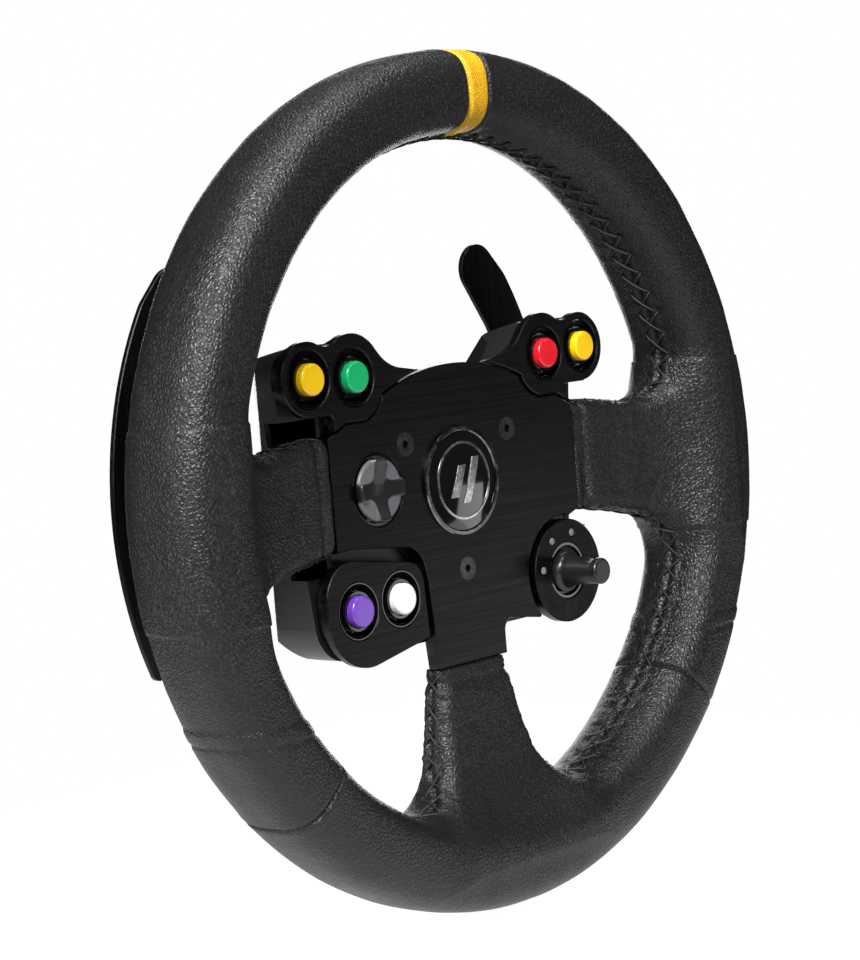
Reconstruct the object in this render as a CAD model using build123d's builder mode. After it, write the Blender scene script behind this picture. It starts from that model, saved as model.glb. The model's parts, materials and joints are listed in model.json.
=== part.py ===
"""Racing wheel rim with face plate, buttons, selector, paddles and a rear coupling for a wheel base.

Millimetres. The origin is the centre of the coupling socket's mouth, at the very back of the wheel.
+Y runs along the steering axis towards the wheel base, so the driver sits on the -Y side; +Z is 12 o'clock
and +X is the driver's right.
"""

from build123d import *
from math import cos, radians, sin
import os

# Rim: a leather-covered tube, 280 mm across, deeper than it is wide
rim_outer = 140.0
tube_half_width = 14.0
tube_flat = 8.0
rim_radius = rim_outer - tube_half_width
leather = 1.4
band_half_angle = 2.15
seam_angle = 222.0

# Depth stations along Y, from the driver's side to the back
rim_y = -62.0
pod_face_y = rim_y + 3.8
face_y = rim_y + 4.5
plate_back_y = rim_y + 6.5
frame_back_y = rim_y + 10.0
shell_wall_y = rim_y + 12.0
split_y = rim_y + 17.0
board_y = rim_y + 19.2
cover_y = rim_y + 43.0
lever_y = rim_y + 53.5
mouth_y = 0.0

# Face layout, X and Z
spoke_edge_x = 60.0
neck_half = 16.4
neck_end_z = -60.0
button_outer = (67.0, 39.0)
button_inner = (47.1, 38.1)
lower_buttons = [(-53.7, -35.2), (-33.9, -34.2)]
dpad_at = (-39.6, 1.6)
selector_at = (50.0, -37.0)
screw_circle = 29.2
emblem_radius = 16.3
pod_gap = 0.8
bevel = 0.35

# Buttons
well_radius = 9.2
cap_radius = 5.1
cap_proud = 2.2
cap_back_y = rim_y + 6.4
cup_radius = 9.05
cup_floor_y = rim_y + 9.7
cup_floor = 1.4
collar_outer = 6.3
collar_inner = 5.45
stem_radius = 2.4
stem_end_y = rim_y + 12.6
switch_front_y = rim_y + 14.2

# Direction pad
dpad_radius = 10.3
dpad_well = 11.6
dpad_pivot_y = rim_y + 6.9
dpad_pin_radius = 0.7

# Selector
selector_disc = 17.7
selector_well = 9.6
selector_front_y = face_y - 1.5
knob_tip_y = face_y - 16.6
dot_circle = 13.1
dot_angles = (75.0, 124.0, 173.0)
spindle_radius = 3.0
carrier_radius = 5.0

# Coupling hub
socket_radius = 21.0
socket_depth = 24.0
boss_radius = 26.0
flange_radius = 33.0
collar_radius = 30.5

# Paddles
hinge_x = 41.0
hinge_y = rim_y + 47.5
pin_radius = 1.5
paddle_thick = 2.0

running = 0.05


def front(y):
    """Sketch plane facing the driver: local x is +X, local y is +Z, and extrusions run towards -Y."""
    return Plane((0, y, 0), x_dir=(1, 0, 0), z_dir=(0, -1, 0))


def save(part, name):
    part.label = name
    export_step(part, f"parts/{name}.step")
    return part


def disc(y_back, y_front, radius, at=(0, 0)):
    """A cylinder along Y between two depth stations."""
    with BuildPart() as body:
        with BuildSketch(front(y_back)):
            with Locations(at):
                Circle(radius)
        extrude(amount=y_back - y_front)
    return body.part


def ring(y_back, y_front, outer, inner, at=(0, 0)):
    """A tube along Y between two depth stations."""
    with BuildPart() as body:
        with BuildSketch(front(y_back)):
            with Locations(at):
                Circle(outer)
                Circle(inner, mode=Mode.SUBTRACT)
        extrude(amount=y_back - y_front)
    return body.part


def mirrored(part):
    return mirror(part, about=Plane.YZ)


def on_circle(centre, radius, angle):
    a = radians(angle)
    return (centre[0] + radius * cos(a), centre[1] + radius * sin(a))


# ---------------------------------------------------------------- outlines of the face


def lobe_edge(side):
    """The main plate's edge beside an upper pod: a chord, a round bay for the lobe, and the shoulder."""
    centre = button_inner
    bay = 15.2
    start, end = on_circle(centre, bay, 255), on_circle(centre, bay, 212)
    middle = on_circle(centre, bay, 233)
    points = [(spoke_edge_x, 19.8), (51.6, 23.6), start, middle, end, (34.0, 31.3)]
    return [(side * x, z) for x, z in points]


def face_outline():
    """Main brushed plate: top arch, bays for the upper pods, cut-out for the lower pod and the selector."""
    left, right = lobe_edge(-1), lobe_edge(1)
    gap_centre = selector_at
    bay = selector_disc + 1.4
    bay_end = on_circle(gap_centre, bay, 229)
    with BuildSketch() as s:
        with BuildLine():
            Polyline(left[0], left[1], left[2])
            ThreePointArc(left[2], left[3], left[4])
            Line(left[4], left[5])
            ThreePointArc(left[5], (0, 38.7), right[5])
            Line(right[5], right[4])
            ThreePointArc(right[4], right[3], right[2])
            Polyline(right[2], right[1], right[0], (spoke_edge_x, -16.6), on_circle(gap_centre, bay, 76))
            ThreePointArc(on_circle(gap_centre, bay, 76), on_circle(gap_centre, bay, 155), bay_end)
            Polyline(bay_end, (neck_half, -48.0), (neck_half, neck_end_z), (-neck_half - 0.6, neck_end_z))
            Polyline(
                (-neck_half - 0.6, neck_end_z), (-19.6, -30.0), (-22.0, -19.0), (-55.0, -15.6),
                (-spoke_edge_x, -16.2), left[0],
            )
        make_face()
        inner_corner = s.vertices().sort_by_distance((neck_half, -48.0, 0))[0]
        fillet(inner_corner, 4.0)
        pod_corner = s.vertices().sort_by_distance((-22.0, -19.0, 0))[0]
        fillet(pod_corner, 9.0)
        horns = [left[2], left[4], right[2], right[4], bay_end, on_circle(gap_centre, bay, 76)]
        for x, z in horns:
            fillet(s.vertices().sort_by_distance((x, z, 0))[0], 0.8)
    return s.sketch


def upper_pod_outline(face):
    """Plate with two button lobes, on the left; it nests against the main plate with a fine gap."""
    with BuildSketch() as lobes:
        with Locations((-button_outer[0], button_outer[1])):
            Circle(11.8)
        with Locations((-button_inner[0], button_inner[1])):
            Circle(13.8)
        valley = lobes.vertices().sort_by(Axis.Y)[-1]
        fillet(valley, 7.0)
    with BuildSketch() as s:
        add(lobes.sketch)
        with BuildLine():
            Polyline(
                (-67.0, 27.2), (-57.4, 27.2), (-57.4, 18.0), (-30.0, 18.0), (-16.0, 37.8),
                (-30.5, 40.2), (-38.6, 49.1), (-46.9, 40.0), (-67.0, 40.0), (-67.0, 27.2),
            )
        make_face()
        shoulder = s.vertices().sort_by_distance((-30.5, 40.2, 0))[0]
        fillet(shoulder, 16.0)
        foot = s.vertices().sort_by_distance((-57.4, 27.2, 0))[0]
        fillet(foot, 2.2)
        offset(face, amount=pod_gap, mode=Mode.SUBTRACT)
    return s.sketch


def lower_pod_outline():
    with BuildSketch() as s:
        with BuildLine():
            FilletPolyline(
                (-67.6, -17.2), (-22.8, -23.7), (-21.6, -48.5), (-67.6, -57.5), radius=(12.0, 8.0, 1.2, 18.0),
                close=True,
            )
        make_face()
    return s.sketch



def housing_solid(inset=0.0):
    """The housing's outer form, or its cavity with an inset: an outline that narrows backwards in plan and
    in profile, with a hollow between the upper pods that widens towards the back. Drawn on the left."""
    outline = [(5, 35.0), (-30, 34.0), (-42, 49.3), (-78, 49.3), (-66, -51.0), (5, -51.0)]
    plan = [(5, rim_y + 10), (5, cover_y), (-53, cover_y), (-77, rim_y + 17), (-80, rim_y + 10)]
    profile = [
        (rim_y + 5, -52.0), (rim_y + 23, -50.0), (rim_y + 38, -32.5), (cover_y + 1, -29.6),
        (cover_y + 1, 33.6), (rim_y + 39, 35.8), (rim_y + 23, 46.3), (rim_y + 5, 51.0),
    ]
    hollow = [(9, rim_y + 20), (9, cover_y + 5), (-50.0, cover_y + 5), (-37.0, rim_y + 20)]
    with BuildPart() as body:
        with BuildSketch(front(cover_y)) as s:
            with BuildLine():
                Polyline(*outline, close=True)
            make_face()
            fillet([v for v in s.vertices() if v.X < -50], 13.0)
            fillet(s.vertices().sort_by_distance((-42, 49.3, 0))[0], 6.0)
            if inset:
                offset(amount=-inset, mode=Mode.REPLACE)
        extrude(amount=cover_y - frame_back_y)
        with BuildSketch(Plane.XY.offset(-60)) as p:
            with BuildLine():
                Polyline(*plan, close=True)
            make_face()
            fillet([v for v in p.vertices() if v.X < -40 and v.Y > rim_y + 12], 6.0)
            if inset:
                offset(amount=-inset, mode=Mode.REPLACE)
        extrude(amount=120, mode=Mode.INTERSECT)
        with BuildSketch(Plane.YZ.offset(-100)):
            with BuildLine():
                Polyline(*profile, close=True)
            make_face()
            if inset:
                offset(amount=-inset, mode=Mode.REPLACE)
        extrude(amount=200, mode=Mode.INTERSECT)
        with BuildSketch(Plane.XY.offset(34.5 - inset)):
            with BuildLine():
                Polyline(*hollow, close=True)
            make_face()
            if inset:
                offset(amount=inset, kind=Kind.INTERSECTION, mode=Mode.REPLACE)
        extrude(amount=40, mode=Mode.SUBTRACT)
        split(bisect_by=Plane.YZ, keep=Keep.BOTTOM)
        mirror(about=Plane.YZ)
    return body.part


# ---------------------------------------------------------------- rim


def sleeve_solid(sections, inset):
    """Padded spoke along +X, lofted through (x, bottom, top, front, back) sections."""
    with BuildPart() as sleeve:
        for x, bottom, top, near, far in sections:
            depth = far - near - 2 * inset
            height = top - bottom - 2 * inset
            at = (x, rim_y + (near + far) / 2, (bottom + top) / 2)
            with BuildSketch(Plane(at, x_dir=(0, 1, 0), z_dir=(1, 0, 0))):
                RectangleRounded(depth, height, depth * 0.4)
        loft()
    return sleeve.part


side_sections = [
    (spoke_edge_x + 0.4, -17.0, 20.2, 4.0, 14.4),
    (92.0, -21.5, 17.0, 2.0, 14.4),
    (120.0, -31.0, 27.0, -8.0, 13.0),
]
lower_sections = [
    (-neck_end_z + 0.4, -17.0, 17.0, 4.0, 14.4),
    (92.0, -21.0, 21.0, 2.0, 14.4),
    (120.0, -33.0, 33.0, -8.0, 13.0),
]


def grip_solid(inset=0.0):
    """The whole padded form: the rim's tube and three spokes."""
    side = sleeve_solid(side_sections, inset)
    with BuildPart() as grip:
        with BuildSketch(Plane.XY):
            with Locations((rim_radius, rim_y)):
                SlotCenterToCenter(tube_flat, 2 * (tube_half_width - inset), rotation=90)
        revolve(axis=Axis.Y)
        add(side)
        add(mirrored(side))
        add(sleeve_solid(lower_sections, inset).rotate(Axis.Y, 90))
    return grip.part


def wedge(start, end):
    """A sector about the steering axis, in degrees anticlockwise from +X as the driver sees it."""
    steps = 4
    points = [on_circle((0, 0), 260, start + (end - start) * i / steps) for i in range(steps + 1)]
    with BuildPart() as sector:
        with BuildSketch(front(rim_y + 30)):
            with BuildLine():
                Polyline((0, 0), *points, close=True)
            make_face()
        extrude(amount=60)
    return sector.part


def leather_piece(cover, start, end):
    with BuildPart() as piece:
        add(cover)
        add(wedge(start, end), mode=Mode.INTERSECT)
    return piece.part


# ---------------------------------------------------------------- plates


def face_piece(outline, holes, y_back=plate_back_y, y_front=face_y):
    """A chamfered plate with round holes given as (position, radius)."""
    with BuildPart() as plate:
        with BuildSketch(front(y_back)):
            add(outline)
            for at, radius in holes:
                with Locations(at):
                    Circle(radius, mode=Mode.SUBTRACT)
        extrude(amount=y_back - y_front)
        chamfer(plate.faces().sort_by(Axis.Y)[0].edges(), bevel)
    return plate.part


def pod_plate(outline, holes):
    """A pod's plate stands a little proud of the main plate."""
    return face_piece(outline, holes, y_front=pod_face_y)


def main_plate(outline):
    """Brushed plate with the direction pad's well and three countersunk screw holes."""
    with BuildPart() as plate:
        add(face_piece(outline, [(dpad_at, dpad_well)]))
        for x, z in screw_points:
            with Locations(Plane((x, face_y, z), x_dir=(1, 0, 0), z_dir=(0, -1, 0))):
                CounterSinkHole(2.1, 4.0, depth=6, counter_sink_angle=90)
    return plate.part


def countersunk_screw(at):
    """Hex-socket screw with its head flush in the plate."""
    x, z = at
    with BuildPart() as screw:
        with BuildSketch(Plane((x, face_y, z), x_dir=(1, 0, 0), z_dir=(0, 0, 1))):
            with BuildLine():
                Polyline((0, 0.05), (3.9, 0.05), (2.0, 1.95), (2.0, 8.5), (0, 8.5), close=True)
            make_face()
        revolve(axis=Axis((x, face_y, z), (0, 1, 0)))
        with BuildSketch(front(face_y + 1.7)):
            with Locations(at):
                RegularPolygon(1.45, 6)
        extrude(amount=3, mode=Mode.SUBTRACT)
    return screw.part


def spoke_frame(outline, pods):
    """Laser-cut plate hidden under the face: hub, three arms, rim ring and a lug under each pod."""
    with BuildPart() as frame:
        with BuildSketch(front(frame_back_y)):
            Circle(rim_radius + 7)
            Circle(rim_radius - 7, mode=Mode.SUBTRACT)
            add(outline)
            for pod in pods:
                offset(pod, amount=-1.3, mode=Mode.ADD)
            with Locations(selector_at):
                Circle(selector_disc - 1.3)
            with BuildLine():
                Polyline((-122, -12), (-122, 8), (-55, 14), (55, 14), (122, 8), (122, -12), (55, -13), (-55, -13),
                         close=True)
            make_face()
            for links in lug_links:
                with BuildLine():
                    Polyline(*links, close=True)
                make_face()
            with Locations(wells):
                Circle(cup_radius + 0.1, mode=Mode.SUBTRACT)
            with Locations(selector_at):
                Circle(selector_well + 0.1, mode=Mode.SUBTRACT)
            with Locations(dpad_at):
                Circle(dpad_well, mode=Mode.SUBTRACT)
            with Locations(screw_points):
                Circle(2.1, mode=Mode.SUBTRACT)
        extrude(amount=frame_back_y - plate_back_y)
    return frame.part


# ---------------------------------------------------------------- buttons


def button_cup(at):
    """Gloss bowl in the well with a collar round the cap and a guide hole for its stem."""
    lip, collar = pod_face_y + 0.15, pod_face_y + 0.3
    floor = cup_floor_y - cup_floor
    guide = stem_radius + running
    with BuildPart() as cup:
        with BuildSketch(Plane((at[0], 0, at[1]), x_dir=(1, 0, 0), z_dir=(0, 0, 1))):
            with BuildLine():
                Polyline((guide, cup_floor_y), (cup_radius, cup_floor_y), (cup_radius, lip), (8.7, lip))
                ThreePointArc((8.7, lip), (8.0, lip + 2.9), (collar_outer, lip + 4.0))
                Polyline(
                    (collar_outer, lip + 4.0), (collar_outer, collar), (collar_inner, collar),
                    (collar_inner, floor), (guide, floor), (guide, cup_floor_y),
                )
            make_face()
        revolve(axis=Axis((at[0], 0, at[1]), (0, 1, 0)))
    return cup.part


def button_cap(at):
    with BuildPart() as cap:
        add(disc(cap_back_y, pod_face_y - cap_proud, cap_radius, at))
        fillet(cap.faces().sort_by(Axis.Y)[0].edges(), 0.9)
        add(disc(stem_end_y, cap_back_y, stem_radius, at))
    return cap.part


def tact_switch(at):
    with BuildPart() as switch:
        with BuildSketch(front(board_y - 1.6)):
            with Locations(at):
                Rectangle(6.0, 6.0)
        extrude(amount=board_y - 1.6 - switch_front_y - 0.8)
        add(disc(switch_front_y + 0.8, switch_front_y, 1.7, at))
    return switch.part


def board(centre, width, height, y_back=board_y):
    with BuildPart() as pcb:
        with BuildSketch(front(y_back)):
            with Locations(centre):
                RectangleRounded(width, height, 1.5)
        extrude(amount=1.6)
    return pcb.part


# ---------------------------------------------------------------- direction pad


def dpad_cup():
    """Dish with two posts that carry the gimbal's fixed pins."""
    x0, z0 = dpad_at
    with BuildPart() as cup:
        add(ring(rim_y + 9.9, face_y + 0.5, dpad_well - 0.1, dpad_well - 0.8, dpad_at))
        add(disc(rim_y + 9.9, rim_y + 8.9, dpad_well - 0.4, dpad_at))
        for side in (-1, 1):
            with Locations((x0 + side * 7.4, rim_y + 7.4, z0)):
                Box(1.8, 3.2, 3.6)
        hole = Plane((x0, dpad_pivot_y, z0), x_dir=(0, 1, 0), z_dir=(1, 0, 0))
        with Locations(hole):
            Cylinder(dpad_pin_radius + running, 17.0, mode=Mode.SUBTRACT)
    return cup.part


def dpad_spider():
    """Gimbal cross: one pair of pins turns in the dish, the other carries the cap."""
    x0, z0 = dpad_at
    with BuildPart() as cross:
        with Locations((x0, dpad_pivot_y, z0)):
            Box(3.0, 2.2, 3.0)
        with Locations(Plane((x0, dpad_pivot_y, z0), x_dir=(0, 1, 0), z_dir=(1, 0, 0))):
            Cylinder(dpad_pin_radius, 16.4)
        with Locations((x0, dpad_pivot_y, z0)):
            Cylinder(dpad_pin_radius, 9.6)
    return cross.part


def dpad_cap():
    """Round pad with a raised four-way cross that ramps up from its centre, on two gimbal legs."""
    x0, z0 = dpad_at
    with BuildPart() as cap:
        add(disc(rim_y + 4.6, face_y - 1.2, dpad_radius, dpad_at))
        chamfer(cap.faces().sort_by(Axis.Y)[0].edges(), 0.5)
        top = face_y - 1.2
        for turn in range(4):
            c, d = cos(radians(90 * turn)), sin(radians(90 * turn))
            with BuildSketch(Plane((x0, 0, z0), x_dir=(c, 0, d), z_dir=(-d, 0, c))):
                with BuildLine():
                    Polyline((0.8, top + 0.5), (9.6, top + 0.5), (9.4, top - 1.2), (8.4, top - 1.5),
                             (0.8, top - 0.1), close=True)
                make_face()
            extrude(amount=2.9, both=True)
        for side in (-1, 1):
            with Locations((x0, rim_y + 6.25, z0 + side * 4.0)):
                Box(3.2, 3.6, 1.4)
        with Locations((x0, dpad_pivot_y, z0)):
            Cylinder(dpad_pin_radius + running, 10.2, mode=Mode.SUBTRACT)
    return cap.part


# ---------------------------------------------------------------- selector


def selector_plate():
    """Round plate, a little proud of the face, with three position dots drilled in it."""
    holes = [(selector_at, selector_well)]
    holes += [(on_circle(selector_at, dot_circle, a), 1.3) for a in dot_angles]
    with BuildSketch() as outline:
        with Locations(selector_at):
            Circle(selector_disc)
    return face_piece(outline.sketch, holes, plate_back_y, selector_front_y)


def selector_cup():
    with BuildPart() as cup:
        add(ring(rim_y + 9.9, selector_front_y + 0.6, selector_well - 0.1, selector_well - 0.9, selector_at))
        add(ring(rim_y + 9.9, rim_y + 8.6, selector_well - 0.2, spindle_radius + 0.4, selector_at))
    return cup.part


def selector_knob():
    """Turned knob: flange, slim neck and a flat tip, with a thumb flat cut in its upper side."""
    x0, z0 = selector_at
    base = rim_y + 5.4
    tip = knob_tip_y
    with BuildPart() as knob:
        with BuildSketch(Plane((x0, 0, z0), x_dir=(1, 0, 0), z_dir=(0, 0, 1))):
            with BuildLine():
                Polyline((0, tip), (3.5, tip))
                ThreePointArc((3.5, tip), (4.2, tip + 0.3), (4.5, tip + 1.0))
                Polyline((4.5, tip + 1.0), (4.4, tip + 3.0), (5.2, tip + 13.6))
                ThreePointArc((5.2, tip + 13.6), (5.8, tip + 15.1), (7.3, tip + 15.7))
                Polyline((7.3, tip + 15.7), (7.3, base), (0, base), (0, tip))
            make_face()
        revolve(axis=Axis((x0, 0, z0), (0, 1, 0)))
        with BuildSketch(Plane((x0 - 6, 0, z0), x_dir=(0, 1, 0), z_dir=(1, 0, 0))):
            with BuildLine():
                Polyline((tip + 2.2, 7), (tip + 2.8, 2.9), (tip + 13.0, 5.1), (tip + 13.0, 7), close=True)
            make_face()
        extrude(amount=12, mode=Mode.SUBTRACT)
        add(disc(rim_y + 16.5, base, spindle_radius, selector_at))
    return knob.part


def selector_body():
    """Rotary switch body with a bore for its sliding carrier."""
    with BuildPart() as body:
        with BuildSketch(front(rim_y + 22.0)):
            with Locations(selector_at):
                Rectangle(14.0, 14.0)
        extrude(amount=9.4)
        chamfer(body.edges().filter_by(Axis.Y), 0.8)
        add(disc(rim_y + 19.4, rim_y + 12.6, carrier_radius + running, selector_at), mode=Mode.SUBTRACT)
    return body.part


# ---------------------------------------------------------------- housing and hub


def front_shell():
    """Front half of the housing: open behind, with windows for stems, selector, hub and the side spokes."""
    with BuildPart() as shell:
        add(housing_solid())
        with BuildPart(mode=Mode.PRIVATE) as keep:
            with Locations((0, (frame_back_y + split_y) / 2, 0)):
                Box(200, split_y - frame_back_y, 200)
        add(keep.part, mode=Mode.INTERSECT)
        with BuildPart(mode=Mode.PRIVATE) as cavity:
            add(housing_solid(2.0))
            with Locations((0, shell_wall_y + 20, 0)):
                Box(200, 40, 200, mode=Mode.INTERSECT)
        add(cavity.part, mode=Mode.SUBTRACT)
        for side in (-1, 1):
            with Locations((side * 79, rim_y + 13, 1.5)):
                Box(42, 12, 50, mode=Mode.SUBTRACT)
        add(disc(split_y, frame_back_y - 1, flange_radius + 0.5), mode=Mode.SUBTRACT)
        for at in wells:
            add(disc(split_y, frame_back_y - 1, 3.2, at), mode=Mode.SUBTRACT)
        add(disc(split_y, frame_back_y - 1, 5.6, selector_at), mode=Mode.SUBTRACT)
        for at in cover_screws:
            add(ring(split_y, shell_wall_y, 3.4, 1.6, at))
    return shell.part


def rear_shell():
    """Rear half: closed back with a hub opening, hinge ears for the paddles and screw bosses."""
    with BuildPart() as shell:
        add(housing_solid())
        with Locations((0, (split_y + cover_y) / 2, 0)):
            Box(200, cover_y - split_y, 200, mode=Mode.INTERSECT)
        with BuildPart(mode=Mode.PRIVATE) as cavity:
            add(housing_solid(2.2))
            with Locations((0, split_y, 0)):
                Box(200, 2 * (cover_y - 2.4 - split_y), 200, mode=Mode.INTERSECT)
        add(cavity.part, mode=Mode.SUBTRACT)
        for x in (-hinge_x, hinge_x):
            for z in (-17.2, 19.2):
                with Locations((x, rim_y + 46.6, z)):
                    Box(8.0, 7.4, 4.0)
        fillet(shell.edges().filter_by(Axis.Z).filter_by(lambda e: e.center().Y > rim_y + 49), 3.0)
        for x, z in cover_screws:
            add(disc(cover_y - 1, split_y, 3.4, (x, z)))
            add(disc(cover_y + 1, split_y - 1, 1.6, (x, z)), mode=Mode.SUBTRACT)
            add(disc(cover_y + 1, cover_y - 2.0, 3.05, (x, z)), mode=Mode.SUBTRACT)
        add(disc(cover_y + 5, split_y, boss_radius + 0.6), mode=Mode.SUBTRACT)
        for x in (-hinge_x, hinge_x):
            with Locations((x, hinge_y, 1.0)):
                Cylinder(pin_radius, 60, mode=Mode.SUBTRACT)
    return shell.part


def cover_screw(at):
    """Pan-head screw from the back of the housing."""
    with BuildPart() as screw:
        add(disc(cover_y - 1.95, rim_y + 13.0, 1.5, at))
        add(disc(cover_y - 0.2, cover_y - 1.95, 2.9, at))
        fillet(screw.faces().sort_by(Axis.Y)[-1].edges(), 0.7)
        with BuildSketch(front(cover_y + 1)):
            with Locations(at):
                RegularPolygon(1.3, 6)
        extrude(amount=2.3, mode=Mode.SUBTRACT)
    return screw.part


def hub():
    """Flanged coupling: three screws hold it to the frame, and its socket takes the wheel base's shaft."""
    with BuildPart() as body:
        add(disc(rim_y + 14.0, frame_back_y, flange_radius))
        add(disc(mouth_y, frame_back_y, boss_radius))
        chamfer(body.faces().sort_by(Axis.Y)[-1].edges(), 0.8)
        add(disc(mouth_y + 1, -socket_depth, socket_radius), mode=Mode.SUBTRACT)
        add(disc(mouth_y, -socket_depth - 9.0, 11.0), mode=Mode.SUBTRACT)
        for at in screw_points:
            add(disc(rim_y + 20, frame_back_y - 1, 2.1, at), mode=Mode.SUBTRACT)
        add(ring(rim_y + 47.0, rim_y + 45.0, boss_radius + 2.4, boss_radius - 1))
    return body.part


def lock_collar():
    """Knurled locking ring that turns on the coupling."""
    near, far = rim_y + 47.4, mouth_y - 3.0
    with BuildPart() as collar:
        add(ring(far, near, collar_radius, boss_radius + running))
        fillet(collar.faces().filter_by(GeomType.CYLINDER).sort_by(SortBy.RADIUS)[-1].edges(), 1.2)
        with BuildSketch(front(far + 1)):
            with PolarLocations(collar_radius + 0.9, 24):
                Circle(1.9)
        extrude(amount=far - near + 2, mode=Mode.SUBTRACT)
    return collar.part


def connector():
    """Round socket insert at the bottom of the coupling with contact holes."""
    back = -socket_depth - 0.6
    with BuildPart() as plug:
        add(disc(back, back - 8.0, 10.9))
        add(ring(back + 1, back - 1.2, 9.4, 8.2), mode=Mode.SUBTRACT)
        with BuildSketch(front(back + 1)):
            with PolarLocations(5.0, 7):
                Circle(0.9)
            Circle(0.9)
        extrude(amount=5.0, mode=Mode.SUBTRACT)
    return plug.part


def connector_pins():
    back = -socket_depth - 1.6
    with BuildPart() as pins:
        with BuildSketch(front(back)):
            with PolarLocations(5.0, 7):
                Circle(0.6)
            Circle(0.6)
        extrude(amount=2.7)
    return pins.part


# ---------------------------------------------------------------- paddles, drawn on the right


def paddle():
    """Tall flat paddle: its outer edge is an arc about the steering axis, its tip is round, and a
    tongue reaches in to the lever."""
    with BuildPart() as blade:
        with BuildSketch(front(lever_y + paddle_thick)) as s:
            with BuildLine():
                ThreePointArc((88.0, 66.4), (107.3, 2.0), (96.0, -53.6))
                Polyline((96.0, -53.6), (81.0, -45.0), (76.0, -22.0), (50.0, -14.0), (50.0, 17.0), (80.0, 22.0))
                Polyline((80.0, 22.0), (79.5, 44.0), (62.6, 69.6), (74.5, 81.0), (88.0, 66.4))
            make_face()
            for x, z, radius in (
                (88.0, 66.4, 14.0), (74.5, 81.0, 8.7), (62.6, 69.6, 8.7), (79.5, 44.0, 20.0), (80.0, 22.0, 9.0),
                (50.0, 17.0, 4.0), (50.0, -14.0, 4.0), (76.0, -22.0, 12.0), (81.0, -45.0, 8.0), (96.0, -53.6, 3.0),
            ):
                corner = s.vertices().sort_by_distance((x, z, 0))[0]
                fillet(corner, radius)
            with Locations(*paddle_screw_at):
                Circle(1.6, mode=Mode.SUBTRACT)
        extrude(amount=paddle_thick)
        chamfer(blade.faces().filter_by(Axis.Y).edges(), 0.25)
    return blade.part


def lever():
    """Arm between the hinge pin and the paddle, with a short tail for the magnet."""
    with BuildPart() as arm:
        with Locations((hinge_x, hinge_y, 1.0)):
            Cylinder(3.0, 31.8)
        with Locations(((hinge_x + 66) / 2, (hinge_y + lever_y) / 2, 1.5)):
            Box(66 - hinge_x, lever_y - hinge_y, 24.0)
        with Locations((hinge_x - 4.0, rim_y + 48.4, 1.0)):
            Box(8.0, 3.6, 14.0)
        fillet(arm.edges().filter_by(Axis.Y), 1.2)
        with Locations((hinge_x, hinge_y, 1.0)):
            Cylinder(pin_radius + running, 40, mode=Mode.SUBTRACT)
        for at in paddle_screw_at:
            add(disc(lever_y + 1, rim_y + 46, 1.35, at), mode=Mode.SUBTRACT)
    return arm.part


def hinge_pin():
    with BuildPart() as pin:
        with Locations((hinge_x, hinge_y, 1.0)):
            Cylinder(pin_radius - 0.01, 42.0)
        chamfer(pin.edges(), 0.3)
    return pin.part


def paddle_screw(at):
    back = lever_y + paddle_thick
    with BuildPart() as screw:
        add(disc(back + 1.6, back, 2.7, at))
        fillet(screw.faces().sort_by(Axis.Y)[-1].edges(), 0.8)
        add(disc(back, lever_y - 4.0, 1.3, at))
        with BuildSketch(front(back + 2)):
            with Locations(at):
                RegularPolygon(1.2, 6)
        extrude(amount=1.5, mode=Mode.SUBTRACT)
    return screw.part


def lever_magnet():
    with BuildPart() as magnet:
        with Locations((hinge_x - 5.4, rim_y + 45.9, 1.0)):
            Box(4.0, 1.4, 8.0)
    return magnet.part


def cover_magnet():
    with BuildPart() as magnet:
        with Locations((hinge_x - 5.4, rim_y + 43.9, 1.0)):
            Box(4.0, 1.8, 8.0)
    return magnet.part


def paddle_switch():
    """Snap-action switch on the back of the housing, under the lever."""
    with BuildPart() as switch:
        with Locations((hinge_x + 9.0, rim_y + 43.9, 1.0)):
            Box(6.4, 1.8, 12.8)
        fillet(switch.edges().filter_by(Axis.Y), 0.6)
    return switch.part


# ---------------------------------------------------------------- assembly

# Webs of the frame: the lower arm, then a link to each pod's lug and to the selector's
lug_links = [
    [(-13, -50), (13, -50), (16, -121), (-16, -121)],
    [(-55, 12), (-55, 29), (-36, 32), (-24, 36), (-24, 12)],
    [(55, 12), (55, 29), (36, 32), (24, 36), (24, 12)],
    [(-38, -46), (-38, -22), (-12, -26), (-12, -50)],
    [(38, -48), (38, -22), (12, -22), (12, -46)],
]

os.makedirs("parts", exist_ok=True)

screw_points = [on_circle((0, 0), screw_circle, a) for a in (30, 150, 270)]
top_wells = [(side * x, z) for side in (-1, 1) for x, z in (button_outer, button_inner)]
wells = top_wells + lower_buttons
cover_screws = [(-31.0, 23.0), (31.0, 23.0), (-31.0, -21.0), (31.0, -21.0)]
paddle_screw_at = [(56.5, -6.0), (56.5, 9.0)]

face = face_outline()
upper_left = upper_pod_outline(face)
upper_right = mirror(upper_left, about=Plane.YZ)
lower_left = lower_pod_outline()
pods = (upper_left, upper_right, lower_left)

frame = spoke_frame(face, pods)
core = grip_solid(leather)
with BuildPart() as cover:
    add(grip_solid())
    add(core, mode=Mode.SUBTRACT)
with BuildPart() as foam:
    add(core)
    add(frame, mode=Mode.SUBTRACT)

save(frame, "spoke_frame")
save(foam.part, "rim_foam")
save(leather_piece(cover.part, 90 + band_half_angle, seam_angle), "leather_left")
save(leather_piece(cover.part, 540 - seam_angle, 450 - band_half_angle), "leather_right")
save(leather_piece(cover.part, seam_angle, 540 - seam_angle), "leather_bottom")
save(leather_piece(cover.part, 90 - band_half_angle, 90 + band_half_angle), "centre_band")

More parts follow.
